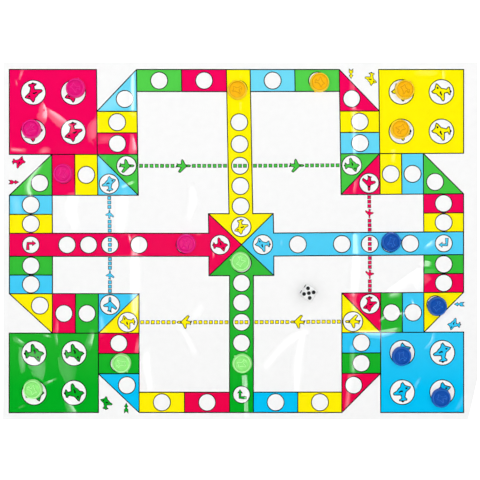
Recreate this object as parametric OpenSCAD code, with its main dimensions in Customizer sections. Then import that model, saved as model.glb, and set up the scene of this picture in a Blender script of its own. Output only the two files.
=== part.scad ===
// Ludo board of the aeroplane kind: a printed plastic film, sixteen moulded tokens and one die.
// The film lies flat with its underside at z = 0 and its middle at the origin, long side along X.
// The back edge is at +Y. Players: 0 red (left), 1 yellow (back), 2 blue (right), 3 green (front).

/* [Film] */
// Thickness of the plastic film
film_t = 0.16; // [0.1:0.02:0.4]
// Thickness of the printed ink
ink_t = 0.04; // [0.02:0.01:0.1]
// Bare border to the left of the print
border_left = 4.4; // [3:0.2:15]
// Bare border to the right of the print
border_right = 10.4; // [8.4:0.2:15]
// Bare border in front of the print and behind it
border_y = 5; // [3:0.2:15]
// Distance along X from the print's front right corner to the slanted trim
trim_gap = 4.4; // [2:0.2:8]
// Lean of the slanted trim away from the side edge, in degrees
trim_lean = 13; // [6:1:30]

/* [Track] */
// Width of the lanes that run in from the back and front edges
lane_w = 17.8; // [15:0.2:24]
// Width of the lanes that run in from the left and right edges
side_lane_w = 17.2; // [15:0.2:24]
// Length along X of a space in the back and front rows
row_space_w = 33.55; // [26:0.05:44]
// Depth along Y of a space in the back and front rows
row_space_h = 15.8; // [14.6:0.2:18]
// Length along X of a space in the left and right columns
column_space_w = 31; // [26:0.5:40]
// Depth along Y of a space in the left and right columns
column_space_h = 14.15; // [13.6:0.05:20]
// Length along X of the square that is split between two routes
split_w = 29.8; // [28:0.2:40]
// Depth along Y of the square that is split between two routes
split_h = 30.1; // [28:0.1:40]
// Length along X of a space between a column and a split square
strip_space_w = 16.7; // [15:0.1:22]
// Depth along Y of a space between a row and a split square
strip_space_h = 15.65; // [14.6:0.05:22]
// Height of the corner triangle at the end of a row
corner_h = 30.2; // [28:0.2:40]
// Length along X of the four arrow heads' box in the middle
head_w = 48.6; // [44:0.2:64]
// Depth along Y of the four arrow heads' box in the middle
head_h = 46.4; // [42:0.2:64]
// How far the stretch of the film carries the middle of the print to the right
pull_x = 3.75; // [0:0.05:5]
// Share of that stretch that is lost towards the back edge
pull_fade = 0.65; // [0:0.05:0.8]
// How far the stretch of the film carries the middle of the print to the front
pull_y = 2.85; // [0:0.05:5]
// How much less that is at the right edge
pull_ease = 1.2; // [0:0.05:2]

/* [Stops] */
// Diameter of the stop printed in a plain space
stop_d = 12.8; // [11:0.2:13.4]
// Diameter of the stop that holds a plane
plane_stop_d = 14.8; // [13:0.2:16.4]
// Diameter of the stops in the four homes
home_stop_d = 18.6; // [16:0.2:24]
// Spacing along X of the stops in a home
home_pitch_x = 30; // [26:0.5:34]
// Spacing along Y of the stops in a home
home_pitch_y = 29.6; // [26:0.2:34]
// Distance of a triangle's stop from each leg of the triangle
stop_from_leg = 9; // [8:0.1:10]
// Distance of a route's stop from each leg of its half square
route_from_leg = 8.4; // [8.2:0.1:9.6]
// Distance of a side lane's plane stop from the middle
side_plane_at = 16; // [15:0.2:20]
// Distance of a back or front lane's plane stop from the middle
plane_at = 13.5; // [12.6:0.1:16]
// Spacing of the outer stops on the side lanes
side_pitch = 15.6; // [14:0.1:17]
// Spacing of the stops on the back and front lanes, from the route outwards
outer_pitch = 15.9; // [14:0.1:17]
// Spacing of the stops on the back and front lanes, from the route inwards
inner_pitch = 14.9; // [14:0.1:15.4]
// Distance of the back and front entry stops from the print's edge
entry_from_edge = 14; // [10:0.5:18]

/* [Lines and marks] */
// Width of the dark lines between the spaces
line_w = 0.8; // [0.3:0.05:1]
// Width of the dark ring round a stop
ring_w = 0.7; // [0.2:0.05:0.9]
// Width of the dark outline round an arrow
outline_w = 0.44; // [0.2:0.02:0.48]
// Width of the dark outline round a plane, as a share of the plane's length
plane_line = 0.044; // [0.02:0.002:0.048]
// Length of a plane in a home
home_plane_l = 15.6; // [12:0.2:16.4]
// Length of a plane in the other stops
stop_plane_l = 12.2; // [10:0.2:12.8]
// Length of a plane on the back and front routes
route_plane_l = 12; // [10:0.2:13]
// Length of a plane on the side routes
side_route_plane_l = 7.6; // [7.2:0.2:10]
// Length of a plane in a bare corner
corner_plane_l = 10.6; // [9:0.2:12]
// Distance of a corner's plane from the print's edge
corner_plane_in = 7; // [6:0.2:9]
// Distance of a corner's plane from the home beside it
corner_plane_off = 5.8; // [5.6:0.2:9]
// Length of the small arrow beside a corner's plane
corner_arrow_l = 8.2; // [7:0.2:9]
// Distance of that arrow from the print's edge
corner_arrow_in = 3.2; // [2.8:0.1:4]
// Distance of that arrow from the plane, along the edge
corner_arrow_step = 15; // [13:0.5:17]
// Length of the arrow in an entry stop
entry_arrow_l = 8; // [6:0.2:9]
// Side of a dash on a route
dash_l = 2.8; // [2:0.1:3]
// Spacing of the dashes on a route, before they are spread to fill it
dash_pitch = 3.7; // [3.4:0.1:5]
// Width of the dark outline round a dash
dash_line_w = 0.45; // [0.2:0.05:0.6]

/* [Tokens] */
// Diameter at the foot
token_d = 14.8; // [12:0.2:17]
// Diameter at the top
token_top_d = 13.4; // [10.6:0.2:15]
// Height
token_h = 3.8; // [3.4:0.1:6]
// Height of the straight part of the foot
token_foot_h = 0.7; // [0.3:0.1:1.2]
// Width of the raised rim
token_rim_w = 1; // [0.6:0.1:1.6]
// Depth of the recess inside the rim
token_recess = 0.9; // [0.7:0.1:1.3]
// Height of the plane that stands in the recess
relief_h = 0.6; // [0.3:0.1:0.9]
// Length of that plane
relief_l = 8.4; // [7:0.2:9]
// Clearance between the ridge round the plane and the rim
relief_gap = 0.9; // [0.5:0.1:1.2]
// Width of the ridge round the plane
ridge_w = 0.4; // [0.2:0.1:0.6]
// Height of that ridge
ridge_h = 0.25; // [0.1:0.05:0.5]
// Depth of the hollow under the token
token_hollow = 1.3; // [0.8:0.1:1.4]
// Wall round the hollow
token_wall = 1.1; // [0.8:0.1:1.6]
// Width of the gate stub left by the mould
gate_w = 1.4; // [0.8:0.1:2]
// Height of the gate stub
gate_h = 0.7; // [0.4:0.1:1.2]
// How far the gate stub stands out of the foot
gate_out = 0.8; // [0.2:0.1:1]

/* [Die] */
// Edge of the die
die_size = 10; // [9:0.5:14]
// How much the rounding takes off each corner, along the diagonal
die_corner_cut = 1.35; // [0.8:0.05:1.6]
// Diameter of a pip at the face
pip_d = 2.4; // [1.4:0.1:2.4]
// Depth of a pip
pip_depth = 0.5; // [0.3:0.05:0.7]
// Distance of the outer pips from the edge of the die
pip_inset = 2.45; // [2.2:0.05:2.6]
// How far the paint in a pip stays below the face
paint_drop = 0.05; // [0.04:0.01:0.2]
// Distance of the die from the middle of the film, to the right
die_x = 50.6; // [34:0.2:64]
// Distance of the die from the middle of the film, to the front
die_front = 38.6; // [34:0.2:48]
// Turn of the die, in degrees
die_turn = 55; // [0:1:89]

/* [Hidden] */
$fn = 64;

PLAYERS = ["red", "yellow", "blue", "green"];
INKS = [[0.94, 0, 0.35], [1, 0.93, 0], [0.1, 0.76, 0.95], [0.1, 0.74, 0.2]];
TOKEN_COLOURS = [[0.86, 0, 0.5], [0.96, 0.7, 0.05], [0.02, 0.24, 0.65], [0.55, 0.88, 0.5]];

// The print's lines, measured from the crossing of the lanes on an unstretched film
x_lane = lane_w / 2;
x_row = x_lane + row_space_w;
x_arm = x_row + row_space_w;
x_home = x_arm + split_w;
x_strip = x_home + strip_space_w;
x_column = x_strip + strip_space_w;
x_out = x_column + column_space_w;
y_lane = side_lane_w / 2;
y_column = y_lane + column_space_h;
y_arm = y_column + column_space_h;
y_home = y_arm + split_h;
y_strip = y_home + strip_space_h;
y_corner = y_strip + strip_space_h;
y_out = y_corner + corner_h;
y_row = y_out - row_space_h;
x_head = head_w / 2;
y_head = head_h / 2;
x_route = x_home - route_from_leg;
y_route = y_home - route_from_leg;

film_x = x_out + (border_left + border_right) / 2;
film_y = y_out + border_y;
print_shift = (border_left - border_right) / 2;
ink_z = film_t;
play_z = ink_z + ink_t;

// Where a point of the print lies on the stretched film
function pull_right(y) = pull_x * (1 - pull_fade * max(y, 0) / y_out);
function pull_front(x) = pull_y - pull_ease * max(x, 0) / x_out;
function lay(p) = [
  p.x + print_shift + pull_right(p.y) * (1 - pow(p.x / x_out, 2)),
  p.y - pull_front(p.x) * (1 - pow(p.y / y_out, 2))
];
function lay_all(points) = [for (p = points) lay(p)];

// Quarters: 0 back left, 1 back right, 2 front right, 3 front left
function quarter_sign(q) = [q == 1 || q == 2 ? 1 : -1, q < 2 ? 1 : -1];
function in_quarter(q, p) = [quarter_sign(q).x * p.x, quarter_sign(q).y * p.y];

// Outline helpers
function box_points(x0, y0, x1, y1) = [[x0, y0], [x1, y0], [x1, y1], [x0, y1]];
function turned(points, a) = [for (p = points) [p.x * cos(a) - p.y * sin(a), p.x * sin(a) + p.y * cos(a)]];
function moved(points, v) = [for (p = points) p + v];
function cross_sum(points, i = 0) =
  i == len(points) ? 0
  : cross(points[i], points[(i + 1) % len(points)]) + cross_sum(points, i + 1);
function inward(a, b, side) = side * [a.y - b.y, b.x - a.x] / norm(b - a);

// The outline drawn again at a distance d inside itself, or outside where d is negative
function inset(points, d) =
  let (n = len(points), side = sign(cross_sum(points)))
  [for (i = [0 : n - 1])
    let (
      before = inward(points[(i + n - 1) % n], points[i], side),
      after = inward(points[i], points[(i + 1) % n], side)
    )
    points[i] + d * (before + after) / (1 + before * after)];

// The twelve spaces of a quarter, counted from the side lane to the back or front lane
QUARTER_SPACES = [
  box_points(x_column, y_lane, x_out, y_column),
  box_points(x_column, y_column, x_out, y_arm),
  [[x_column, y_arm], [x_out, y_arm], [x_column, y_home]],
  box_points(x_strip, y_arm, x_column, y_home),
  box_points(x_home, y_arm, x_strip, y_home),
  [[x_home, y_arm], [x_home, y_home], [x_arm, y_arm]],
  [[x_arm, y_home], [x_arm, y_arm], [x_home, y_home]],
  box_points(x_arm, y_home, x_home, y_strip),
  box_points(x_arm, y_strip, x_home, y_corner),
  [[x_arm, y_corner], [x_home, y_corner], [x_arm, y_out]],
  box_points(x_row, y_row, x_arm, y_out),
  box_points(x_lane, y_row, x_row, y_out)
];
SPACES = len(QUARTER_SPACES);
COLUMN_TRIANGLE = 2;
SIDE_HALF = 5;
END_HALF = 6;
ROW_TRIANGLE = 9;

// Spaces are coloured in turn, clockwise round the track, with one lane entry after each quarter
function space_step(q, k) = q % 2 == 0 ? k + 1 : SPACES - k;
function space_player(q, k) = ((SPACES + 1) * q + space_step(q, k)) % 4;
function space_points(q, k) = lay_all([for (p = QUARTER_SPACES[k]) in_quarter(q, p)]);

// A stop sits in the middle of a rectangle, or near the square corner of a triangle
function box_middle(points) = (points[0] + points[2]) / 2;
function space_stop(k) =
  k == COLUMN_TRIANGLE ? [x_column + stop_from_leg, y_arm + stop_from_leg]
  : k == SIDE_HALF ? [x_route, y_arm + route_from_leg]
  : k == END_HALF ? [x_arm + route_from_leg, y_route]
  : k == ROW_TRIANGLE ? [x_arm + stop_from_leg, y_corner + stop_from_leg]
  : box_middle(QUARTER_SPACES[k]);
function stop_at(q, k) = lay(in_quarter(q, space_stop(k)));
function stop_size(k) = k == SIDE_HALF || k == END_HALF ? plane_stop_d : stop_d;

// Homes: one for each player, in the quarter of the same number
HOME_MIDDLE = [(x_home + x_out) / 2, (y_home + y_out) / 2];
function home_points(q) =
  lay_all([for (p = box_points(x_home, y_home, x_out, y_out)) in_quarter(q, p)]);
function home_stop(q, i, j) =
  lay(in_quarter(q, HOME_MIDDLE)) + [i * home_pitch_x, j * home_pitch_y] / 2;

// Lanes: from the entry on the edge to the arrow head in the middle
function lane_points(s) = lay_all(
  s % 2 == 0
  ? let (d = s == 0 ? -1 : 1)
    [[d * x_out, -y_lane], [d * x_head, -y_lane], [d * x_head, -y_head], [0, 0],
     [d * x_head, y_head], [d * x_head, y_lane], [d * x_out, y_lane]]
  : let (d = s == 1 ? 1 : -1)
    [[-x_lane, d * y_out], [-x_lane, d * y_head], [-x_head, d * y_head], [0, 0],
     [x_head, d * y_head], [x_lane, d * y_head], [x_lane, d * y_out]]);
SIDE_STOPS = [x_row, x_arm, x_route, x_route + side_pitch, x_route + 2 * side_pitch];
END_STOPS = [
  y_route - 2 * inner_pitch, y_route - inner_pitch, y_route,
  y_route + outer_pitch, y_route + 2 * outer_pitch
];
function lane_spot(s, distance) = lay(
  s == 0 ? [-distance, 0] : s == 1 ? [0, distance] : s == 2 ? [distance, 0] : [0, -distance]);
function lane_stop(s, n) = lane_spot(s, s % 2 == 0 ? SIDE_STOPS[n] : END_STOPS[n]);
function lane_plane(s) = lane_spot(s, s % 2 == 0 ? side_plane_at : plane_at);
function lane_entry(s) = lane_spot(s, s % 2 == 0 ? (x_column + x_out) / 2 : y_out - entry_from_edge);

// Every stop of a player, as middle and diameter
HOME_SIGNS = [[-1, -1], [1, -1], [-1, 1], [1, 1]];
function player_stops(c) = concat(
  [for (q = [0 : 3]) for (k = [0 : SPACES - 1])
    if (space_player(q, k) == c) [stop_at(q, k), stop_size(k)]],
  [for (i = HOME_SIGNS) [home_stop(c, i.x, i.y), home_stop_d]],
  [for (n = [0 : 4]) [lane_stop(c, n), stop_d]],
  [[lane_plane(c), plane_stop_d], [lane_entry(c), stop_d]]
);
function player_fields(c) = concat(
  [for (q = [0 : 3]) for (k = [0 : SPACES - 1]) if (space_player(q, k) == c) space_points(q, k)],
  [home_points(c), lane_points(c)]
);

// Planes seen from above and a little to one side, one unit long, nose towards +Y: a broad one with
// engines under its wings, and a slim one with swept wings
BROAD_POINTS = [
  [0.02, 0.5], [0.08, 0.42], [0.15, 0.34], [0.42, 0.27], [0.39, 0.18], [0.2, 0], [0.15, -0.23],
  [0.25, -0.32], [0.24, -0.4], [0.12, -0.42], [0.02, -0.5], [-0.06, -0.44], [-0.16, -0.43], [-0.15, -0.35],
  [-0.05, -0.29], [-0.08, -0.16], [-0.4, -0.16], [-0.46, -0.09], [-0.42, -0.02], [-0.27, 0.07],
  [-0.2, 0.18], [-0.11, 0.26], [-0.07, 0.42]
];
SLIM_POINTS = [
  [0, 0.5], [0.08, 0.42], [0.09, 0.19], [0.43, -0.16], [0.43, -0.26], [0.35, -0.32], [0.12, -0.17],
  [0.08, -0.32], [0.1, -0.49], [-0.05, -0.42], [-0.18, -0.39], [-0.12, -0.3], [-0.13, -0.14],
  [-0.34, -0.14], [-0.43, -0.07], [-0.37, 0.02], [-0.13, 0.13], [-0.09, 0.2], [-0.08, 0.42]
];
// Their dark marks: the cabin, an engine and the tail of the broad one, the cabin and tail of the slim one
BROAD_MARKS = [
  [[-0.19, 0], [-0.15, -0.04], [-0.07, 0], [0.03, 0.01], [0.03, 0.07], [-0.06, 0.09]],
  [[0.14, 0.22], [0.25, 0.24], [0.24, 0.15], [0.16, 0.14]],
  [[-0.03, -0.4], [0.03, -0.38], [0.06, -0.42], [0.01, -0.45]]
];
SLIM_MARKS = [
  [[0, 0.3], [0.05, 0.22], [0, 0.15], [-0.05, 0.22]],
  [[-0.06, -0.35], [0.02, -0.33], [0.04, -0.4], [-0.03, -0.39]]
];
function mirrored(points) = [for (p = points) [-p.x, p.y]];
BROAD = 0;
SLIM = 1;
MIRRORED = 2;
FIGURES = [BROAD_POINTS, SLIM_POINTS, mirrored(BROAD_POINTS)];
FIGURE_MARKS = [BROAD_MARKS, SLIM_MARKS, [for (points = BROAD_MARKS) mirrored(points)]];

// A straight arrow and an arrow with a bend, one unit long, both pointing towards +Y
ARROW_POINTS = [
  [0, 0.5], [0.2, 0.14], [0.09, 0.08], [0.09, 0], [0.2, -0.12], [0.2, -0.5], [0, -0.32],
  [-0.2, -0.5], [-0.2, -0.12], [-0.09, 0], [-0.09, 0.08], [-0.2, 0.14]
];
BENT_POINTS = [
  [-0.14, 0.5], [-0.42, 0.12], [-0.26, 0.12], [-0.26, -0.38], [0.5, -0.46], [0.5, -0.12], [-0.02, -0.16],
  [-0.02, 0.12], [0.14, 0.12]
];
function marked(points, size, turn, spot) = moved(turned([for (p = points) p * size], turn), spot);

// Routes: the back one belongs to green, then red, yellow and blue, clockwise
function route_turn(r) = -90 - 90 * r;
function route_spot(r, along) = lay(
  r == 0 ? [along, y_route] : r == 1 ? [x_route, -along] : r == 2 ? [-along, -y_route] : [-x_route, along]);
function route_half(r) = r % 2 == 0 ? x_arm : y_arm;
function route_plane_at(r) = r % 2 == 0 ? x_row : y_column;
function route_plane_size(r) = r % 2 == 0 ? route_plane_l : side_route_plane_l;
function lane_half(r) = r % 2 == 0 ? x_lane : y_lane;

// Dashes are spread evenly from each plane to the lane and to the split square
function dash_run(from, to) =
  let (count = max(1, round((to - from) / dash_pitch)))
  [for (i = [0 : count - 1]) from + (i + 0.5) * (to - from) / count];
// Three more cross the lane, inside its stop
function lane_dashes() = [-dash_pitch, 0, dash_pitch];
function route_places(r) =
  let (
    plane = route_plane_at(r),
    half = route_plane_size(r) / 2,
    one_side = concat(
      dash_run(lane_half(r) + line_w / 2, plane - half),
      dash_run(plane + half, route_half(r) - line_w / 2)
    )
  )
  concat(one_side, -one_side, lane_dashes());
function route_dashes(r) = [for (along = route_places(r)) route_spot(r, along)];
function dash_points(spot) = moved(box_points(-dash_l / 2, -dash_l / 2, dash_l / 2, dash_l / 2), spot);

// Marks in the four bare corners: a plane beside the home and a small arrow further along the edge
function corner_spot(c) = lay(in_quarter(c, c % 2 == 0 ? [x_out, y_home] : [x_home, y_out]));
function corner_place(c, from_edge, from_home) =
  corner_spot(c) - in_quarter(c, c % 2 == 0 ? [from_edge, from_home] : [from_home, from_edge]);
function corner_plane(c) = corner_place(c, corner_plane_in, corner_plane_off);
function corner_arrow(c) = corner_place(c, corner_arrow_in, corner_plane_off + corner_arrow_step);

// Every printed plane of a player, as figure, length, turn and middle: a route starts with a slim plane
HOME_TURN = [180, 90, 0, -90];
function lane_turn(c) = -90 - 90 * c;
function player_route(c) = (c + 1) % 4;
function player_planes(c) =
  let (r = player_route(c))
  concat(
    [for (i = HOME_SIGNS) [BROAD, home_plane_l, HOME_TURN[c], home_stop(c, i.x, i.y)]],
    [[BROAD, stop_plane_l, lane_turn(c), lane_plane(c)]],
    [for (q = [0 : 3]) for (k = [SIDE_HALF, END_HALF]) if (space_player(q, k) == c)
      [q == r ? SLIM : BROAD, stop_plane_l, route_turn(r), stop_at(q, k)]],
    [for (i = [-1, 1]) [SLIM, route_plane_size(r), route_turn(r), route_spot(r, i * route_plane_at(r))]],
    [[MIRRORED, corner_plane_l, lane_turn(c), corner_plane(c)]]
  );
function plane_points(p) = marked(FIGURES[p[0]], p[1], p[2], p[3]);
function plane_marks(p) = [for (points = FIGURE_MARKS[p[0]]) marked(points, p[1], p[2], p[3])];

// The outlines of a player's two arrows
function player_arrows(c) = [
  marked(BENT_POINTS, entry_arrow_l, lane_turn(c), lane_entry(c)),
  marked(ARROW_POINTS, corner_arrow_l, lane_turn(c), corner_arrow(c))
];

// The whole printed track as one outline, and the four bare windows inside it
TRACK_QUARTER = [
  [x_arm, y_out], [x_home, y_corner], [x_home, y_out], [x_out, y_out], [x_out, y_home],
  [x_column, y_home], [x_out, y_arm]
];
function backwards(points) = [for (i = [len(points) - 1 : -1 : 0]) points[i]];
TRACK_POINTS = lay_all([
  for (q = [0 : 3])
    for (p = q % 2 == 1 ? TRACK_QUARTER : backwards(TRACK_QUARTER)) in_quarter(q, p)
]);
WINDOW_QUARTER = [
  [x_column, y_lane], [x_column, y_arm], [x_arm, y_arm], [x_arm, y_row],
  [x_lane, y_row], [x_lane, y_head], [x_head, y_head], [x_head, y_lane]
];
function window_points(q) = lay_all([for (p = WINDOW_QUARTER) in_quarter(q, p)]);

// Where the tokens stand, each a little off the middle of its stop, and how each is turned
TOKEN_SPOTS = [
  [home_stop(0, 1, 1) + [1.8, 3.2], home_stop(0, -1, -1) + [-1.3, 2.1],
   stop_at(0, 3) + [-0.3, 1], lane_stop(0, 0) + [1.3, 0.9]],
  [lane_entry(1) + [-0.9, -0.7], stop_at(1, 10) + [1.7, -1.5],
   home_stop(1, -1, 1) + [2.3, 1.5], home_stop(1, -1, -1) + [-1.1, 1.6]],
  [lane_stop(2, 3) + [0.8, 1.3], stop_at(2, 2) + [1.3, -1.5],
   home_stop(2, -1, 1) + [-0.6, -2.6], home_stop(2, 1, -1) + [-1, -4.2]],
  [lane_plane(3) + [-0.7, 0.8], home_stop(3, -1, -1) + [-0.8, 2.7],
   stop_at(3, 8) + [2, 0.3], lane_stop(3, 4) + [0.5, 0.1]]
];
TOKEN_TURNS = [[80, 150, 20, 200], [110, 250, 60, 330], [15, 160, 40, 95], [175, 240, 300, 130]];

// Film

module film_sheet() {
  lean = tan(trim_lean);
  color([0.97, 0.97, 0.97])
    linear_extrude(film_t)
      polygon([
        [-film_x, -film_y],
        [x_out + print_shift + trim_gap - border_y * lean, -film_y],
        [film_x, -y_out + (border_right - trim_gap) / lean],
        [film_x, film_y],
        [-film_x, film_y]
      ]);
}

// Print

module stops(c, grow) {
  for (stop = player_stops(c))
    translate(stop[0])
      circle(d = stop[1] + grow);
}

module dark_marks(c) {
  for (plane = player_planes(c))
    for (points = plane_marks(plane))
      polygon(points);
}

module ink_fields(c) {
  color(INKS[c])
    translate([0, 0, ink_z])
      linear_extrude(ink_t) {
        difference() {
          for (field = player_fields(c))
            polygon(inset(field, line_w / 2));
          stops(c, ring_w);
        }
        difference() {
          for (plane = player_planes(c))
            polygon(inset(plane_points(plane), plane_line * plane[1]));
          dark_marks(c);
        }
        for (arrow = player_arrows(c))
          polygon(inset(arrow, outline_w));
        for (spot = route_dashes(player_route(c)))
          polygon(inset(dash_points(spot), dash_line_w));
      }
}

module print_red() {
  ink_fields(0);
}

module print_yellow() {
  ink_fields(1);
}

module print_blue() {
  ink_fields(2);
}

module print_green() {
  ink_fields(3);
}

module track_lines() {
  difference() {
    polygon(inset(TRACK_POINTS, -line_w / 2));
    for (q = [0 : 3])
      polygon(inset(window_points(q), line_w / 2));
    for (c = [0 : 3])
      for (field = player_fields(c))
        polygon(inset(field, line_w / 2));
  }
}

module stop_rings(c) {
  difference() {
    stops(c, ring_w);
    stops(c, -ring_w);
  }
}

module outline(points, width) {
  difference() {
    polygon(points);
    polygon(inset(points, width));
  }
}

module print_keylines() {
  color([0.12, 0.11, 0.13])
    translate([0, 0, ink_z])
      linear_extrude(ink_t) {
        track_lines();
        for (c = [0 : 3]) {
          stop_rings(c);
          dark_marks(c);
          for (plane = player_planes(c))
            outline(plane_points(plane), plane_line * plane[1]);
          for (arrow = player_arrows(c))
            outline(arrow, outline_w);
          for (spot = route_dashes(c))
            outline(dash_points(spot), dash_line_w);
        }
      }
}

// Tokens

module token_profile() {
  foot_r = token_d / 2;
  top_r = token_top_d / 2;
  rim_r = token_rim_w / 2;
  rim_z = token_h - rim_r;
  recess_r = top_r - token_rim_w;
  floor_z = token_h - token_recess;
  hollow_r = foot_r - token_wall;
  polygon([
    [0, token_hollow], [hollow_r, token_hollow], [hollow_r, 0], [foot_r, 0], [foot_r, token_foot_h],
    [top_r, rim_z], [recess_r, rim_z], [recess_r, floor_z], [0, floor_z]
  ]);
  translate([top_r - rim_r, rim_z])
    circle(r = rim_r);
}

module token_body() {
  floor_z = token_h - token_recess;
  recess_d = token_top_d - 2 * token_rim_w;
  rotate_extrude()
    token_profile();
  translate([0, 0, floor_z]) {
    linear_extrude(relief_h)
      polygon(relief_l * BROAD_POINTS);
    linear_extrude(ridge_h)
      difference() {
        circle(d = recess_d - relief_gap + ridge_w);
        circle(d = recess_d - relief_gap - ridge_w);
      }
  }
  translate([(token_d - token_wall) / 2, -gate_w / 2, 0])
    cube([token_wall / 2 + gate_out, gate_w, gate_h]);
}

module token(c, n) {
  color(TOKEN_COLOURS[c])
    translate([TOKEN_SPOTS[c][n].x, TOKEN_SPOTS[c][n].y, play_z])
      rotate(TOKEN_TURNS[c][n])
        token_body();
}

// Die

// Pips of a face as places on a three by three grid
function pip_grid(count) = concat(
  count % 2 == 1 ? [[0, 0]] : [],
  count > 1 ? [[-1, -1], [1, 1]] : [],
  count > 3 ? [[-1, 1], [1, -1]] : [],
  count == 6 ? [[-1, 0], [1, 0]] : []
);

// Opposite faces add up to seven
DIE_FACES = [
  [5, [0, 0, 0]], [2, [180, 0, 0]], [1, [90, 0, 0]], [6, [-90, 0, 0]], [3, [0, 90, 0]], [4, [0, -90, 0]]
];
pip_ball_r = (pow(pip_d / 2, 2) + pow(pip_depth, 2)) / (2 * pip_depth);

module on_die() {
  translate([die_x, -die_front, film_t + die_size / 2])
    rotate(die_turn)
      children();
}

module pip_balls() {
  pitch = die_size / 2 - pip_inset;
  for (face = DIE_FACES)
    rotate(face[1])
      for (place = pip_grid(face[0]))
        translate([place.x * pitch, place.y * pitch, die_size / 2 - pip_depth + pip_ball_r])
          sphere(r = pip_ball_r);
}

module die() {
  color([0.96, 0.96, 0.95])
    on_die()
      difference() {
        intersection() {
          cube(die_size, center = true);
          sphere(r = die_size * sqrt(3) / 2 - die_corner_cut);
        }
        pip_balls();
      }
}

module die_pips() {
  color([0.05, 0.05, 0.06])
    on_die()
      intersection() {
        pip_balls();
        cube(die_size - 2 * paint_drop, center = true);
      }
}

film_sheet();
print_red();
print_yellow();
print_blue();
print_green();
print_keylines();
for (c = [0 : 3])
  for (n = [0 : 3])
    token(c, n);
die();
die_pips();
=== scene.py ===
"""Looks of the ludo board: a creased glossy film with its print, sixteen moulded tokens and a die."""

import math

import bpy
import numpy as np
from mathutils import Euler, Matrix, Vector
from mathutils.bvhtree import BVHTree
from mathutils.geometry import delaunay_2d_cdt


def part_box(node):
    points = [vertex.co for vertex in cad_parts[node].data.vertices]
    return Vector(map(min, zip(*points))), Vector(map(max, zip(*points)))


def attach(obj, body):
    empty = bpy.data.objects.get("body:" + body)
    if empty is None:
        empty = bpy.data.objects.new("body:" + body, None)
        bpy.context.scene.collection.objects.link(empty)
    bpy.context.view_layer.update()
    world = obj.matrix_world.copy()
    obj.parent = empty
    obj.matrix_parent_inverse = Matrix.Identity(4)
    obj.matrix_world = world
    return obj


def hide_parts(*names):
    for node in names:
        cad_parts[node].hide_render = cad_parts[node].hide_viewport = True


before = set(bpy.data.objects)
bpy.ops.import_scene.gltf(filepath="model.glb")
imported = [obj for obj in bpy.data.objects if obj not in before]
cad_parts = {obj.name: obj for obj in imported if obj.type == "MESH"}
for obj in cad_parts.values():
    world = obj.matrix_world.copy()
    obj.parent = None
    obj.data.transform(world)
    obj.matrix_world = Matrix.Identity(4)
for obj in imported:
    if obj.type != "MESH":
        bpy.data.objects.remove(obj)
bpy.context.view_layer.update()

# Lengths in this script are millimetres until a mesh is made; the frame is in metres.
MM = 0.001
PLAYERS = ("red", "yellow", "blue", "green")
TOKENS_EACH = 4


# Camera: straight above, one photograph frame wide at the film

FRAME_W = 360.0
CAMERA_H = 800.0
CAMERA_X, CAMERA_Y = -0.37, 0.75
SENSOR_W = 36.0


def make_camera():
    data = bpy.data.cameras.new("camera")
    data.sensor_width = SENSOR_W
    data.lens = SENSOR_W * CAMERA_H / FRAME_W
    camera = bpy.data.objects.new("camera", data)
    camera.location = Vector((CAMERA_X, CAMERA_Y, CAMERA_H)) * MM
    bpy.context.scene.collection.objects.link(camera)
    bpy.context.scene.camera = camera


# Measures taken from the CAD nodes. Points merge at this many decimals, a face is level within this slack,
# a token's rim reaches this far down from its top, and rays start at this height.
MERGE_DIGITS = 4
LEVEL_SLACK = 0.002
RIM_DEEP = 0.1
RAY_HIGH = 100.0


def cad_mesh(node):
    """A CAD node's points, in millimetres and merged, and its triangles."""
    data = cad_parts[node].data
    points = np.empty(len(data.vertices) * 3)
    data.vertices.foreach_get("co", points)
    points = np.round(points.reshape(-1, 3) / MM, MERGE_DIGITS)
    data.calc_loop_triangles()
    corners = np.empty(len(data.loop_triangles) * 3, int)
    data.loop_triangles.foreach_get("vertices", corners)
    points, same = np.unique(points, axis=0, return_inverse=True)
    return points, same.reshape(-1)[corners].reshape(-1, 3)


def cad_tree(node):
    """A CAD node's triangles as a tree that rays can be cast at."""
    return BVHTree.FromPolygons(*[part.tolist() for part in cad_mesh(node)])


def hit_from_above(tree, spot):
    return tree.ray_cast(Vector((spot[0], spot[1], RAY_HIGH)), Vector((0, 0, -1)))[0] is not None


def border_edges(triangles):
    """The edges that only one of the triangles uses, each in that triangle's direction."""
    edges = np.concatenate([triangles[:, [0, 1]], triangles[:, [1, 2]], triangles[:, [2, 0]]])
    _, first, uses = np.unique(np.sort(edges, axis=1), axis=0, return_index=True, return_counts=True)
    return edges[first[uses == 1]]


def outline_at(node, height):
    """The outline of a CAD node's flat faces at one height, as points and edges in the plane."""
    points, triangles = cad_mesh(node)
    flat = (np.abs(points[triangles][:, :, 2] - height) < LEVEL_SLACK).all(axis=1)
    edges = border_edges(triangles[flat])
    used, same = np.unique(edges, return_inverse=True)
    return points[used][:, :2], same.reshape(-1, 2)


def node_top(node):
    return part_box(node)[1].z / MM


FILM_T = node_top("film_sheet")
INK_T = node_top("print_keylines") - FILM_T
FILM_LOW, FILM_HIGH = (np.array(corner[:2]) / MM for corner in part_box("film_sheet"))
PRINT_MIDDLE = np.mean([corner[:2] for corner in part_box("print_keylines")], axis=0) / MM


def token_middle(node):
    """Middle of a token, from the rim at its top, in the plane."""
    points, _ = cad_mesh(node)
    rim = points[points[:, 2] > points[:, 2].max() - RIM_DEEP][:, :2]
    return (rim.min(axis=0) + rim.max(axis=0)) / 2


def token_nodes(player):
    return [f"token_{player}_{n}" for n in range(1, TOKENS_EACH + 1)]


TOKENS = {node: token_middle(node) for player in PLAYERS for node in token_nodes(player)}
DIE_MIDDLE = np.array((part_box("die")[0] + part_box("die")[1]) / 2) / MM


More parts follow.
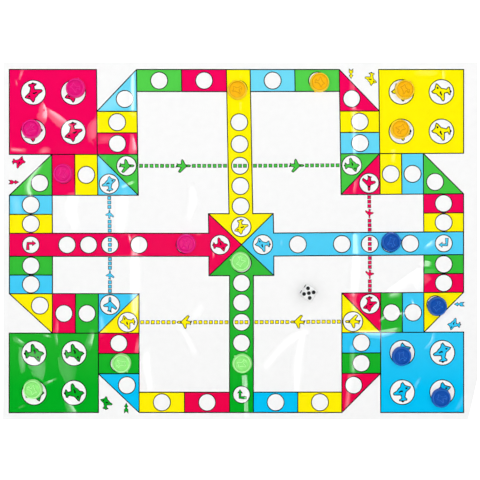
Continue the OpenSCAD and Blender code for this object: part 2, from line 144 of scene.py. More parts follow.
# Stage lamps: each is its name, its place, width and height in metres, its power, and if gloss shows it.
LAMPS = [
    ("left", (-1.48, 0.10, 1.70), 3.0, 1.2, 22.0, True),
    ("right", (1.48, 0.10, 1.70), 3.0, 1.2, 19.0, True),
    ("back", (0.10, 1.48, 1.70), 3.0, 1.2, 16.0, True),
    ("front", (-0.10, -1.48, 1.70), 3.0, 1.2, 17.0, True),
    ("top", (0.0, 0.0, 2.20), 1.6, 1.6, 28.5, False),
]

# A lamp's light fades out towards its edges, over these shares of its width and of its height. It is so many
# times as bright in the middle of its height, and plain at this share of the height from there.
LAMP_EDGES = (0.25, 0.4)
LAMP_CORE, LAMP_CORE_HALF = 3.0, 0.2

# A facet can throw the light of so many places on a lamp, up to this share of its width from its middle.
LAMP_SPREAD, LAMP_STOPS = 0.25, 11


# Shape of the film: old folds, flat facets between creases, slow waves and lifted corners.
# Folds and facets are placed from the middle of the print.

# Each fold is a place across the film and the height of its ridge at some places along it. It falls away
# over a reach to both sides, and its top is rounded off.
FOLD_REACH = 14.0
FOLD_ROUND = 0.6
FOLDS_ALONG_Y = [
    (-75.0, [(-134, 0.2), (-80, 0.3), (-44, 0.4), (-10, 0.4), (25, 0.2), (66, 0.4), (100, 0.3), (134, 0.2)]),
    (6.0, [(-134, 0.4), (-98, 0.4), (-62, 0.3), (0, 0.2), (60, 0.2), (95, 0.3), (134, 0.2)]),
    (87.0, [(-134, 0.2), (-95, 0.4), (-60, 0.3), (0, 0.4), (25, 0.2), (76, 0.4), (124, 0.4), (134, 0.3)]),
]
FOLDS_ALONG_X = [
    (68.0, [(-176, 0.3), (-140, 0.3), (-118, 0.2), (0, 0.2), (87, 0.3), (176, 0.2)]),
    (1.0, [(-176, 0.2), (-96, 0.3), (0, 0.2), (72, 0.3), (142, 0.3), (176, 0.2)]),
    (-67.5, [(-176, 0.3), (-112, 0.3), (0, 0.2), (88, 0.4), (120, 0.4), (176, 0.3)]),
]

# Each facet is a strip of film that leans over beside a crease: its kind, its share of the lean that throws
# a lamp's light straight at the viewer, then its places and widths. A kind is the shares of the width over
# which the light comes up from the low side and dies away at the crease.
CRISP, SHARP, SOFT = (0.2, 0.08), (0.9, 0.08), (0.5, 0.5)
FACETS = [
    # Back left: home, corner triangles, columns and split square
    (SHARP, 0.95, [(-145.3, 105, 0.5), (-145, 97.1, 7), (-146, 90, 7)]),
    (SHARP, 0.85, [(-143, 98.4, 4), (-134.4, 91.8, 7), (-124, 83, 7)]),
    (SOFT, 0.8, [(-104.5, 92, 4), (-107.3, 84.4, 9), (-106.3, 75, 9)]),
    (CRISP, 0.85, [(-160.3, 129, 2.2), (-162.6, 121, 1.6)]),
    (CRISP, 0.8, [(-165.4, 120.4, 1), (-164.4, 117, 1)]),
    (SOFT, 0.8, [(-171, 68.2, 4), (-158, 67.4, 3)]),
    (SHARP, 0.97, [(-149, 66, 2), (-143, 68.2, 4.5), (-137, 66.6, 2)]),
    (SOFT, 0.75, [(-104, 76.6, 8), (-88, 76.8, 7)]),
    (SHARP, 0.85, [(-78.4, 80, 2), (-77, 65.4, 7.5)]),
    (SOFT, 0.95, [(-77.8, 128, 2.5), (-77.8, 112, 4.5), (-77.8, 95, 5)]),
    (SOFT, 0.75, [(-103, 98, 6), (-88, 105.6, 12)]),
    (SOFT, 1.0, [(-145, 58.6, 2.5), (-153.6, 47.6, 6.5), (-156, 39.8, 6.5), (-152.8, 31, 4)]),
    (SOFT, 0.75, [(-165.7, 31.5, 6), (-163.7, 21.4, 6)]),
    (SOFT, 0.75, [(-101.7, 63, 7), (-97.3, 48, 8)]),
    (SOFT, 0.75, [(-101, 35.6, 7), (-88, 38, 6)]),
    (CRISP, 1.0, [(-88, 39.2, 2), (-75, 45.4, 3)]),
    (SHARP, 0.9, [(-79.4, 63.2, 2), (-73.4, 62.2, 1.6)]),
    # Left and middle
    (SOFT, 0.87, [(-121.6, 35, 8), (-124, 22, 9), (-120, 11, 7)]),
    (SOFT, 0.87, [(-84.6, 36, 8), (-86.4, 20, 10), (-88, 6, 8)]),
    (SOFT, 0.75, [(-100, 4, 6), (-90, 4.6, 6)]),
    (CRISP, 0.9, [(-80.4, 5, 1.4), (-79.4, -1, 1.6)]),
    (SOFT, 1.0, [(-75.6, 2, 6), (-74.6, -22, 10), (-75, -43, 9), (-75.6, -56, 6)]),
    (SOFT, 0.85, [(-101.7, -55, 3.5), (-100, -69, 7)]),
    (SHARP, 0.85, [(-134.4, -59, 2), (-134.9, -70, 3.2)]),
    (CRISP, 0.9, [(-31.5, 4.6, 1.6), (-25.2, 5.6, 2)]),
    (CRISP, 0.9, [(-16.7, -5.8, 2.8), (-17.8, -14.4, 0.8)]),
    (CRISP, 0.9, [(33.8, 0.6, 1.4), (33.8, -3.4, 1.4)]),
    (SOFT, 0.75, [(6.8, -20, 3.5), (6.6, -31, 3.5)]),
    (SOFT, 0.8, [(3.3, 126, 2.4), (3.3, 113, 2.4)]),
    (SOFT, 0.8, [(2.8, 107, 2.2), (3.2, 95.4, 2.2)]),
    # Back right
    (SOFT, 0.85, [(84.6, 126, 5), (86.6, 100, 6), (88, 62, 6)]),
    (SOFT, 0.95, [(81.6, 63, 3), (92.6, 65.2, 4)]),
    (SHARP, 0.8, [(89.9, 46.6, 2.8), (88, 35.6, 2)]),
    (SHARP, 0.85, [(155.3, 129.6, 2.4), (155.3, 119.6, 2)]),
    (SOFT, 0.7, [(135, 127.4, 7), (148, 127.4, 7)]),
    (SOFT, 0.75, [(117.4, 68, 2.6), (117.4, 59.4, 2.6)]),
    # Right
    (SOFT, 0.95, [(88.3, 7.4, 8), (88.8, -13.3, 9.5), (87.9, -29.3, 9), (85.6, -44, 8)]),
    (SOFT, 0.85, [(84.6, -39.6, 6), (88.6, -54, 8)]),
    (SHARP, 0.98, [(141, -5.6, 2.4), (148.8, -0.4, 4.4)]),
    (CRISP, 1.0, [(136, -18.8, 1.6), (142.4, -17, 5.5), (147.6, -18.6, 2.4)]),
    (SHARP, 0.95, [(113, -42.5, 10), (128, -33.5, 14), (142, -23.5, 13)]),
    (SHARP, 1.0, [(88, -67.8, 2.4), (106.5, -69.6, 6.5), (123, -65.6, 2.6)]),
    (CRISP, 1.0, [(105.6, -61.4, 1.6), (113.4, -55, 3.2)]),
    (CRISP, 1.0, [(118.4, -55.2, 2.6), (129, -53.4, 2.6)]),
    (SHARP, 1.0, [(112.4, -42.6, 3), (119, -41.6, 6), (125, -39.8, 4)]),
    (CRISP, 0.95, [(131.4, -44.6, 1.5), (133.4, -48.9, 1.5)]),
    # Front right
    (SOFT, 0.9, [(85.9, -76, 4.5), (86.3, -100, 5.5)]),
    (SOFT, 0.95, [(85.4, -97.6, 6), (82.6, -128, 6)]),
    (SHARP, 0.9, [(147.8, -68.4, 1.8), (146.6, -75, 2.6), (140.6, -82.2, 2.6)]),
    (SHARP, 0.95, [(119.6, -93.6, 2.4), (123.8, -93.4, 2.4)]),
    (SOFT, 0.8, [(137.4, -102, 2.6), (133.4, -110, 2.6)]),
    (SOFT, 0.8, [(164.8, -128, 4), (171.4, -115, 5)]),
    # Windows and the front lane
    (CRISP, 0.9, [(7, -78.6, 2.8), (7.2, -87.6, 2.8)]),
    (CRISP, 0.95, [(6, -96, 4.8), (6.4, -112, 4.8)]),
    (CRISP, 0.95, [(7, -113.4, 2.8), (7.4, -131.4, 3.4)]),
    (SOFT, 0.9, [(55.5, -65, 6), (36.3, -78.1, 10), (20, -96, 7)]),
    (SOFT, 0.95, [(50.4, -65, 7), (46, -90, 11), (45, -114, 8)]),
    (SOFT, 0.87, [(-42, -64, 6), (-29.5, -86, 7)]),
    (SOFT, 0.87, [(-67, -82, 5), (-66.6, -98, 7), (-63.4, -113, 6)]),
    (SOFT, 0.87, [(-33, -60, 6), (-25, -46, 8)]),
    (SOFT, 0.87, [(-34, 42, 6), (-32.6, 30, 8), (-36, 17, 5)]),
    (SOFT, 0.75, [(-17.6, -106, 4), (-17, -116, 6)]),
    # Front left home
    (SHARP, 0.9, [(-166, -73.2, 4), (-158.4, -78.2, 2.4)]),
    (SOFT, 0.75, [(-161.4, -80, 3), (-160.6, -89, 5), (-160, -98, 3)]),
    (SOFT, 0.68, [(-150.3, -89, 14), (-148.7, -97, 11), (-147.7, -105, 5)]),
    (SHARP, 0.9, [(-135.9, -68, 2.8), (-134.4, -78, 2)]),
    (SHARP, 0.95, [(-107.8, -66.6, 4), (-111.4, -79.4, 6.5)]),
    (SOFT, 0.64, [(-128, -86, 12), (-126, -96, 13), (-125, -106, 6)]),
    (SHARP, 0.95, [(-129.2, -115.2, 0.8), (-126.2, -122.1, 5), (-121.6, -132.4, 9)]),
    (CRISP, 0.85, [(-135.4, -103.2, 1.2), (-144, -107.2, 2.4)]),
    (SOFT, 0.85, [(-166, -126.2, 3.6), (-157.4, -122.6, 3.6)]),
    (SHARP, 0.85, [(-72.6, -67, 2.4), (-74.4, -82.8, 3.4)]),
    (CRISP, 0.8, [(-144.4, -70.6, 1.6), (-139.2, -71.7, 1.6)]),
]

# A facet has points at this step and at least this width, and its ends die away over this length.
FACET_STEP = 1.0
FACET_LEAST = 0.2
FACET_FADE = 4.0

# At this share of the lean no light is thrown, and the lean ends this share of the width outside the strip.
LEAN_DARK = 0.58
FACET_SLACK = 0.001

# The film itself bends by a share of the lean, up to a low crest that falls back over this many widths.
CREASE_SHARE = 0.25
CREASE_BACK = 3.0

# Each lifted corner is the corner's signs, its height and how far along the film it reaches.
LIFTS = [((-1, -1), 1.6, 24.0), ((-1, 1), 0.9, 20.0), ((1, 1), 0.7, 20.0), ((1, -1), 1.0, 22.0)]

# Each wave is its height, its length and the direction that it runs in, in degrees.
WAVES = [(0.16, 92.0, 20.0), (0.10, 57.0, 115.0), (0.05, 38.0, 65.0)]

# The film lies flat under a piece and a little beyond. Its waves, creases and leaning facets come back over
# these stretches from there.
TOKEN_R = 7.4
DIE_R = 7.2
FLAT_BEYOND = 0.8
WAVES_OVER = 16.0
CREASES_OVER = 3.0
TILTS_OVER = 1.0
FLAT_SPOTS = [(spot, TOKEN_R) for spot in TOKENS.values()] + [(DIE_MIDDLE[:2], DIE_R)]

# The film's slopes are measured over this step.
SLOPE_STEP = 0.02


def cross(a, b):
    """Signed area of the parallelogram between vectors of the plane."""
    return a[..., 0] * b[..., 1] - a[..., 1] * b[..., 0]


def triangle_areas(points, triangles):
    """Signed areas of triangles, seen from above."""
    a, b, c = (points[triangles[:, i], :2] for i in range(3))
    return cross(b - a, c - a) / 2


def smoothstep(low, high, value):
    t = np.clip((value - low) / (high - low), 0, 1)
    return t * t * (3 - 2 * t)


def fold_height(across, along, place, stations):
    """A ridge that falls away on both sides of a fold."""
    off = np.sqrt((across - place) ** 2 + FOLD_ROUND**2) - FOLD_ROUND
    height = np.interp(along, *zip(*stations))
    return height * (1 - np.clip(off / FOLD_REACH, 0, 1)) ** 2


def smooth_path(stations):
    """Evenly set points along a facet and its width at each, curving through its stations."""
    stations = np.array(stations, float)
    steps = np.linalg.norm(np.diff(stations[:, :2], axis=0), axis=1)
    at = np.concatenate([[0], np.cumsum(steps)])
    run = np.linspace(0, at[-1], int(at[-1] / FACET_STEP) + 2)
    slopes = np.gradient(stations, at, axis=0)
    left = np.clip(np.searchsorted(at, run, side="right") - 1, 0, len(at) - 2)
    size = (at[left + 1] - at[left])[:, None]
    t = ((run - at[left]) / size[:, 0])[:, None]
    start, end = stations[left], stations[left + 1]
    lift, drop = slopes[left] * size, slopes[left + 1] * size
    curve = (2 * t**3 - 3 * t**2 + 1) * start + (t**3 - 2 * t**2 + t) * lift
    curve += (3 * t**2 - 2 * t**3) * end + (t**3 - t**2) * drop
    return curve[:, :2] + PRINT_MIDDLE, np.maximum(curve[:, 2], FACET_LEAST), at[-1]


def unit(vector):
    return vector / np.linalg.norm(vector)


def lamp_aims(spot):
    """Tilts of the film at a spot that each throw the light of one place on a lamp at the viewer."""
    here = np.array((*spot, 0)) * MM
    seen = unit(np.array((CAMERA_X, CAMERA_Y, CAMERA_H)) * MM - here)
    aims = []
    for _, place, width, _, _, mirrored in LAMPS:
        if mirrored:
            sideways = unit(np.array((-place[1], place[0], 0)))
            for shift in np.linspace(-LAMP_SPREAD, LAMP_SPREAD, LAMP_STOPS):
                half = unit(place + shift * width * sideways - here) + seen
                aims.append(half[:2] / half[2])
    return np.array(aims)


def facet_leans(path, side):
    """For each step of a facet's path, the full tilt, towards the lamp nearest to its low side."""
    leans = []
    for a, b in zip(path[:-1], path[1:]):
        run = unit(b - a)
        aims = lamp_aims((a + b) / 2)
        near = aims @ (side * np.array((run[1], -run[0]))) / np.linalg.norm(aims, axis=1)
        leans.append(aims[near.argmax()])
    return np.array(leans)


def facet_shapes():
    """Each facet's kind, strength and full tilts, and its strip: path, widths, length and side."""
    shapes = []
    for kind, strength, stations in FACETS:
        path, widths, length = smooth_path(stations)
        choices = [(facet_leans(path, side), side) for side in (1, -1)]
        leans, side = min(choices, key=lambda choice: np.linalg.norm(choice[0], axis=1).mean())
        shapes.append((kind, strength, leans, (path, widths, length, side)))
    return shapes


SHAPES = facet_shapes()


def facet_places(points, path, widths, length, side):
    """Which points are near a facet, and their steps of its path, shares across, end fades and widths."""
    reach = (CREASE_BACK + 1) * widths.max()
    near = np.all((points > path.min(axis=0) - reach) & (points < path.max(axis=0) + reach), axis=1)
    spots = points[near]
    best = np.full(len(spots), np.inf)
    along, off, steps = np.zeros(len(spots)), np.zeros(len(spots)), np.zeros(len(spots), int)
    for i, (a, b) in enumerate(zip(path[:-1], path[1:])):
        run = b - a
        t = np.clip((spots - a) @ run / (run @ run), 0, 1)
        away = spots - a - t[:, None] * run
        apart = np.linalg.norm(away, axis=1)
        closer = apart < best
        best[closer] = apart[closer]
        along[closer] = (i + t[closer]) / (len(path) - 1)
        off[closer] = side * (np.sign(cross(run, away)) * apart)[closer]
        steps[closer] = i
    width = np.interp(along, np.linspace(0, 1, len(widths)), widths)
    fade = min(FACET_FADE / length, 0.5)
    ends = smoothstep(0, fade, along) * smoothstep(1, 1 - fade, along)
    return near, steps, off / width + 0.5, ends, width


def facet_height(points, leans, strip):
    """Height of a facet's low crease."""
    near, steps, across, ends, width = facet_places(points, *strip)
    slope = np.linalg.norm(leans, axis=1)[steps]
    up = np.clip(across, 0, 1) ** 2
    back = 1 - np.clip((across - 1) / CREASE_BACK, 0, 1)
    height = np.zeros(len(points))
    height[near] = CREASE_SHARE * slope * width / 2 * up * back**2 * ends
    return height


def facet_tilt(points, kind, strength, leans, strip):
    """How far a facet tips the film's normal over, in the plane."""
    near, steps, across, ends, _ = facet_places(points, *strip)
    foot, crest = kind
    light = smoothstep(0, foot, across) * smoothstep(1, 1 - crest, across) * ends
    share = LEAN_DARK + (strength - LEAN_DARK) * light
    share[np.abs(across - 0.5) > 0.5 + FACET_SLACK] = 0
    tilt = np.zeros((len(points), 2))
    tilt[near] = share[:, None] * leans[steps]
    return tilt


def slow_rise(points):
    """Height of the film's folds, waves and lifted corners, which lie flat round the pieces."""
    x, y = (points - PRINT_MIDDLE).T
    rise = np.zeros(len(points))
    for place, stations in FOLDS_ALONG_Y:
        rise += fold_height(x, y, place, stations)
    for place, stations in FOLDS_ALONG_X:
        rise += fold_height(y, x, place, stations)
    for height, length, turn in WAVES:
        run = x * math.cos(math.radians(turn)) + y * math.sin(math.radians(turn))
        rise += height * (1 + np.sin(2 * math.pi * run / length))
    for signs, height, reach in LIFTS:
        corner = np.where(np.array(signs) > 0, FILM_HIGH, FILM_LOW)
        off = np.linalg.norm(points - corner, axis=1)
        rise += height * (1 - np.clip(off / reach, 0, 1)) ** 2
    return rise * beyond_pieces(points, WAVES_OVER)


def beyond_pieces(points, stretch):
    """Nothing under a piece, and all of it a stretch beyond the piece."""
    share = np.ones(len(points))
    for spot, radius in FLAT_SPOTS:
        off = np.linalg.norm(points - spot, axis=1) - radius - FLAT_BEYOND
        share *= smoothstep(0, stretch, off)
    return share


def film_rise(points):
    """How far the film stands above the table at some points of the plane."""
    creases = np.max([facet_height(points, leans, strip) for _, _, leans, strip in SHAPES], axis=0)
    return slow_rise(points) + creases * beyond_pieces(points, CREASES_OVER)


def film_normals(points):
    """Upward normals of the film at some points of the plane."""
    here = slow_rise(points)
    slopes = [(slow_rise(points + step) - here) / SLOPE_STEP for step in np.eye(2) * SLOPE_STEP]
    tilt = np.zeros((len(points), 2))
    for shape in SHAPES:
        more = facet_tilt(points, *shape)
        steeper = np.linalg.norm(more, axis=1) > np.linalg.norm(tilt, axis=1)
        tilt[steeper] = more[steeper]
    tilt *= beyond_pieces(points, TILTS_OVER)[:, None]
    normals = np.column_stack([tilt - np.transpose(slopes), np.ones(len(points))])
    return normals / np.linalg.norm(normals, axis=1)[:, None]


# Net of triangles that the film and its inks share: steps of its even points and of the rows along a fold,
# the places of those rows across the fold, and how near points come before they merge
GRID_STEP = 3.0
FOLD_STEP = 3.0
FOLD_OFFSETS = (-6, -3, -1.5, -0.6, 0, 0.6, 1.5, 3, 6)
NET_SLACK = 1e-4
FINE_SLACK = 1e-5

# Rows of points along a facet: shares of its width, and millimetres beyond that.
FACET_ROWS = [
    (-0.5, 0), (-0.35, 0), (-0.2, 0), (-0.05, 0), (0.1, 0), (0.25, 0), (0.4, 0), (0.5, 0), (0.5, 0.3),
    (1.5, 0), (0.5 + CREASE_BACK, 0),
]


def grid_points():
    """Even points over the film, with rows set closer along its folds and facets."""
    spans = [np.arange(low + GRID_STEP / 2, high, GRID_STEP) for low, high in zip(FILM_LOW, FILM_HIGH)]
    rows = [np.stack(np.meshgrid(*spans), axis=-1).reshape(-1, 2)]
    for along, folds in ((1, FOLDS_ALONG_Y), (0, FOLDS_ALONG_X)):
        run = np.arange(FILM_LOW[along] + FOLD_STEP / 2, FILM_HIGH[along], FOLD_STEP)
        for place, _ in folds:
            for offset in FOLD_OFFSETS:
                across = np.full(len(run), PRINT_MIDDLE[1 - along] + place + offset)
                rows.append(np.column_stack([run, across] if along == 0 else [across, run]))
    for _, _, _, (path, widths, _, side) in SHAPES:
        run = np.gradient(path, axis=0)
        left = np.column_stack([-run[:, 1], run[:, 0]]) / np.linalg.norm(run, axis=1)[:, None]
        for share, beyond in FACET_ROWS:
            rows.append(path + side * (share * widths + beyond)[:, None] * left)
    return np.concatenate(rows)


def split_outline(points, edges, step):
    """An outline with extra points, so that no edge is longer than the step."""
    made_points, made_edges = list(points), []
    for a, b in edges:
        count = math.ceil(np.linalg.norm(points[b] - points[a]) / step)
        run = [a]
        for i in range(1, count):
            run.append(len(made_points))
            made_points.append(points[a] + (points[b] - points[a]) * i / count)
        run.append(b)
        made_edges += zip(run[:-1], run[1:])
    return np.array(made_points), made_edges


def triangulated(points, edges, slack, with_sources=False):
    """Points and triangles over places in the plane, and the places that each point stands for."""
    made = delaunay_2d_cdt([Vector(p) for p in points], edges, [], 0, slack, with_sources)
    return np.array([tuple(v) for v in made[0]]), np.array(made[2]), made[3]


def film_net():
    """Points and triangles over the whole film, with the print's lines among the edges."""
    outline, rim = split_outline(*outline_at("film_sheet", FILM_T), GRID_STEP)
    lines, line_edges = outline_at("print_keylines", FILM_T + INK_T)
    trim = cad_tree("film_sheet")
    loose = [p for p in grid_points() if hit_from_above(trim, p)]
    points = np.concatenate([outline, lines, loose])
    edges = [tuple(map(int, e)) for e in rim]
    edges += [(int(a) + len(outline), int(b) + len(outline)) for a, b in line_edges]
    net, triangles, _ = triangulated(points, edges, NET_SLACK)
    clockwise = triangle_areas(net, triangles) < 0
    triangles[clockwise] = triangles[clockwise][:, ::-1]
    return net, triangles


def regions(triangles, walls):
    """Numbers the patches of triangles that hang together without crossing a wall triangle."""
    parent = list(range(len(triangles)))

    def root(i):
        while parent[i] != i:
            parent[i] = parent[parent[i]]
            i = parent[i]
        return i

    seen = {}
    for i, (a, b, c) in enumerate(triangles.tolist()):
        if walls[i]:
            continue
        for edge in ((a, b), (b, c), (c, a)):
            key = (min(edge), max(edge))
            if key in seen:
                parent[root(i)] = root(seen[key])
            seen[key] = i
    return np.array([root(i) for i in range(len(triangles))])


def sort_triangles(net, triangles):
    """The triangles of each ink: those on the dark lines, and the patches that the lines close in."""
    middles = net[triangles].mean(axis=1)
    line_tree = cad_tree("print_keylines")
    ink_trees = {f"print_{player}": cad_tree(f"print_{player}") for player in PLAYERS}
    on_line = np.array([hit_from_above(line_tree, m) for m in middles])
    area = triangle_areas(net, triangles)
    patch = regions(triangles, on_line)
    owner = {}
    for number in np.unique(patch[~on_line]):
        inside = np.flatnonzero((patch == number) & ~on_line)
        middle = middles[inside[area[inside].argmax()]]
        for node, tree in ink_trees.items():
            if hit_from_above(tree, middle):
                owner[number] = node
    owners = np.array([owner.get(number, "") for number in patch])
    return {"print_keylines": on_line, **{node: (owners == node) & ~on_line for node in ink_trees}}


# Meshes


def add_mesh(name, points, faces, normals=None):
    """A smooth mesh object from points in millimetres."""
    mesh = bpy.data.meshes.new(name)
    mesh.from_pydata((np.asarray(points) * MM).tolist(), [], [list(map(int, f)) for f in faces])
    mesh.polygons.foreach_set("use_smooth", [True] * len(mesh.polygons))
    if normals is not None:
        mesh.normals_split_custom_set_from_vertices(normals.tolist())
    mesh.update()
    piece = bpy.data.objects.new(name, mesh)
    bpy.context.scene.collection.objects.link(piece)
    return piece


def layer(name, net, triangles, bottom, top):
    """A thin closed layer on the film's shape, between two heights above the film's underside."""
    used, same = np.unique(triangles, return_inverse=True)
    faces = same.reshape(-1, 3)
    flat = net[used]
    rise, up = film_rise(flat), film_normals(flat)
    count = len(used)
    points = np.concatenate([np.column_stack([flat, rise + top]), np.column_stack([flat, rise + bottom])])
    walls = [(b, a, a + count, b + count) for a, b in border_edges(faces)]
    shell = [*faces, *(faces[:, ::-1] + count), *walls]
    return add_mesh(name, points, shell, np.concatenate([up, -up]))


# Materials


def new_material(name):
    """A material, its node tree and its shader."""
    material = bpy.data.materials.new(name)
    material.use_nodes = True
    return material, material.node_tree, material.node_tree.nodes["Principled BSDF"]


def feed(tree, socket, value):
    """Links a node's output to a socket, or sets the socket to a plain value."""
    if isinstance(value, bpy.types.NodeSocket):
        tree.links.new(value, socket)
    else:
        socket.default_value = value


def feed_named(tree, node, values):
    """Feeds a node's sockets by their names."""
    for name, value in values.items():
        feed(tree, node.inputs[name], value)


def new_node(tree, kind, *values, operation=None):
    """A node with its first sockets fed in their order."""
    node = tree.nodes.new(f"ShaderNode{kind}")
    if operation:
        node.operation = operation
    for socket, value in zip(node.inputs, values):
        feed(tree, socket, value)
    return node


def object_place(tree):
    """A place on the object, in metres."""
    return new_node(tree, "TexCoord").outputs["Object"]


def axis_of(tree, vector, axis):
    """One of a vector's three parts."""
    return new_node(tree, "SeparateXYZ", vector).outputs[axis]


def length_of(tree, vector):
    return new_node(tree, "VectorMath", vector, operation="LENGTH").outputs["Value"]


def computed(tree, operation, *values):
    return new_node(tree, "Math", *values, operation=operation).outputs["Value"]


def object_noise(tree, size, detail=2.0):
    """Noise fixed to the object, with features of about one size in millimetres."""
    noise = new_node(tree, "TexNoise", object_place(tree))
    feed_named(tree, noise, {"Scale": 1 / (size * MM), "Detail": detail})
    return noise.outputs["Fac"]


# Most of a noise lies in this span.
NOISE_SPAN = (0.3, 0.7)


def ranged(tree, value, low, high, source=NOISE_SPAN):
    """A value carried from one range to another."""
    return new_node(tree, "MapRange", value, *source, low, high).outputs["Result"]


def mixed(tree, share, first, second):
    """A colour between two, each a plain colour or a node's output."""
    node = new_node(tree, "Mix")
    node.data_type = "RGBA"
    feed(tree, node.inputs["Factor"], share)
    feed(tree, node.inputs[6], first)
    feed(tree, node.inputs[7], second)
    return node.outputs[2]


def bumped(tree, height, depth):
    """Relief of a depth in millimetres, as a normal."""
    bump = new_node(tree, "Bump")
    feed_named(tree, bump, {"Distance": depth * MM, "Height": height})
    return bump.outputs["Normal"]


def glow(weight, depth):
    """What a shader needs to let light into a plastic, to a depth in millimetres."""
    return {"Subsurface Weight": weight, "Subsurface Radius": (1, 1, 1), "Subsurface Scale": depth * MM}


def linear(*screen):
    """A screen colour of 0 to 255 as the shader's own values, by the curve of sRGB."""
    shares = [c / 255 for c in screen]
    return (*[c / 12.92 if c <= 0.04045 else ((c + 0.055) / 1.055) ** 2.4 for c in shares], 1)


BLACK, WHITE = (0, 0, 0, 1), (1, 1, 1, 1)

# Film and inks: sizes of the mottling, the smears and the skin's relief in millimetres, how far the mottling
# darkens, how deep the relief is, and between which places the colour lightens towards the back: painted
# light
MOTTLE, SMEAR, SKIN = 5.0, 9.0, 5.0
SMEAR_DETAIL = 3.0
MOTTLE_DARK = 0.02
SKIN_DEPTH = 0.02
PAINTED_LIGHT_SPAN = (-110.0, 120.0)

# All of the film's gloss comes from its coat. The layer under that is rough.
UNDER_ROUGH = (0.3, 0.4)
COAT_ROUGH = (0.02, 0.05)
COAT_IOR = 1.95


def film_material(name, front, back):
    """Glossy film or ink, finely mottled: its colour fades to a lighter one at the back, painted light."""
    material, tree, shader = new_material(name)
    along = axis_of(tree, object_place(tree), "Y")
    # Painted light: the colour turns lighter from the front to the back.
    fade = ranged(tree, along, 0, 1, tuple(y * MM for y in PAINTED_LIGHT_SPAN))
    mottle = ranged(tree, object_noise(tree, MOTTLE), 0, MOTTLE_DARK)
    smear = object_noise(tree, SMEAR, SMEAR_DETAIL)
    feed_named(tree, shader, {
        "Base Color": mixed(tree, mottle, mixed(tree, fade, front, back), BLACK),
        "Roughness": ranged(tree, smear, *UNDER_ROUGH),
        "Specular IOR Level": 0.0,
        "Coat Weight": 1.0,
        "Coat IOR": COAT_IOR,
        "Coat Roughness": ranged(tree, smear, *COAT_ROUGH),
        "Normal": bumped(tree, object_noise(tree, SKIN), SKIN_DEPTH),
    })
    return material


PLASTIC_IOR = 1.5

# Tokens: where the painted highlight on the rim comes in, outwards, and where the painted light on the
# relief's lines comes in, upwards, in millimetres, size and shade of the swirls, how rough and glossy the
# plastic is, and how far light goes in
RIM_HIGHLIGHT_SPAN = (5.7, 6.6)
RELIEF_LIGHT_SPAN = (3.2, 3.45)
SWIRL = 3.2
SWIRL_SHADE = 0.9
TOKEN_ROUGH = (0.18, 0.26)
TOKEN_SPECULAR = 0.2
TOKEN_DEEP = 0.8


def token_material(name, core, rim_highlight, relief_light, glow_weight):
    """Moulded translucent plastic: painted highlight on the rim, painted light on the relief's lines."""
    material, tree, shader = new_material(name)
    place = object_place(tree)
    level = new_node(tree, "VectorMath", place, (1, 1, 0), operation="MULTIPLY").outputs["Vector"]
    # Painted highlight: paler towards the rim.
    rim_highlight_share = ranged(tree, length_of(tree, level), 0, 1, tuple(r * MM for r in RIM_HIGHLIGHT_SPAN))
    # Painted light on the relief's raised lines; on the amber tokens it is painted shade, darker than the
    # recess.
    relief_light_share = ranged(tree, axis_of(tree, place, "Z"), 0, 1, tuple(z * MM for z in RELIEF_LIGHT_SPAN))
    swirl = object_noise(tree, SWIRL)
    shade = (*[SWIRL_SHADE * c for c in core[:3]], 1)
    body = mixed(tree, ranged(tree, swirl, 0, 1), core, shade)
    feed_named(tree, shader, {
        "Base Color": mixed(tree, rim_highlight_share, mixed(tree, relief_light_share, body, relief_light), rim_highlight),
        "Roughness": ranged(tree, swirl, *TOKEN_ROUGH),
        "IOR": PLASTIC_IOR,
        "Specular IOR Level": TOKEN_SPECULAR,
        **glow(glow_weight, TOKEN_DEEP),
    })
    return material


# Die: size, detail and depth of its grain, how much rougher the grain makes it, and how far light goes in
GRAIN, GRAIN_DETAIL, GRAIN_DEPTH = 0.8, 4.0, 0.02
GRAIN_ROUGH = 0.12
DIE_DEEP = 4.0


def die_material(name, colour, shade, rough, glow_weight):
    """Moulded plastic or paint with a faint grain."""
    material, tree, shader = new_material(name)
    grain = object_noise(tree, GRAIN, GRAIN_DETAIL)
    feed_named(tree, shader, {
        "Base Color": mixed(tree, ranged(tree, grain, 0, 1), colour, shade),
        "Roughness": ranged(tree, grain, rough, rough + GRAIN_ROUGH),
        "IOR": PLASTIC_IOR,
        "Normal": bumped(tree, grain, GRAIN_DEPTH),
        **glow(glow_weight, DIE_DEEP),
    })
    return material


# Each film colour is its slot, and its screen colours at the front and at the back; the lighter back is
# painted light.
FILM_COLOURS = {
    "film_sheet": ("white_film", linear(245, 245, 245), linear(249, 249, 249)),
    "print_red": ("red_ink", linear(235, 0, 72), linear(245, 0, 92)),
    "print_yellow": ("yellow_ink", linear(253, 237, 0), linear(255, 243, 0)),
    "print_blue": ("blue_ink", linear(0, 192, 243), linear(112, 220, 247)),
    "print_green": ("green_ink", linear(0, 170, 32), linear(84, 208, 76)),
    "print_keylines": ("black_ink", linear(18, 15, 20), linear(22, 18, 24)),
}

# Each token colour is its slot, its colours in the recess, of the painted highlight at the rim and of the
# painted light on the relief's lines (painted shade on the amber ones), and how much it glows inside.
TOKEN_COLOURS = {
    "red": ("magenta_plastic", linear(226, 0, 122), linear(232, 14, 134), linear(232, 30, 142), 0.15),
    "yellow": ("amber_plastic", linear(246, 186, 0), linear(253, 208, 40), linear(214, 150, 0), 0.2),
    "blue": ("navy_plastic", linear(6, 76, 168), linear(8, 80, 174), linear(40, 108, 200), 0.1),
    "green": ("green_plastic", linear(146, 232, 126), linear(172, 246, 154), linear(184, 248, 166), 0.2),
}

# Each die colour is its slot, its colour, its grain's shade, its roughness and how much it glows inside.
DIE_COLOURS = {
    "die": ("white_plastic", linear(250, 250, 250), linear(248, 248, 248), 0.45, 1.0),
    "die_pips": ("black_paint", linear(10, 10, 12), linear(6, 6, 8), 0.6, 0.0),
}


# Film and print


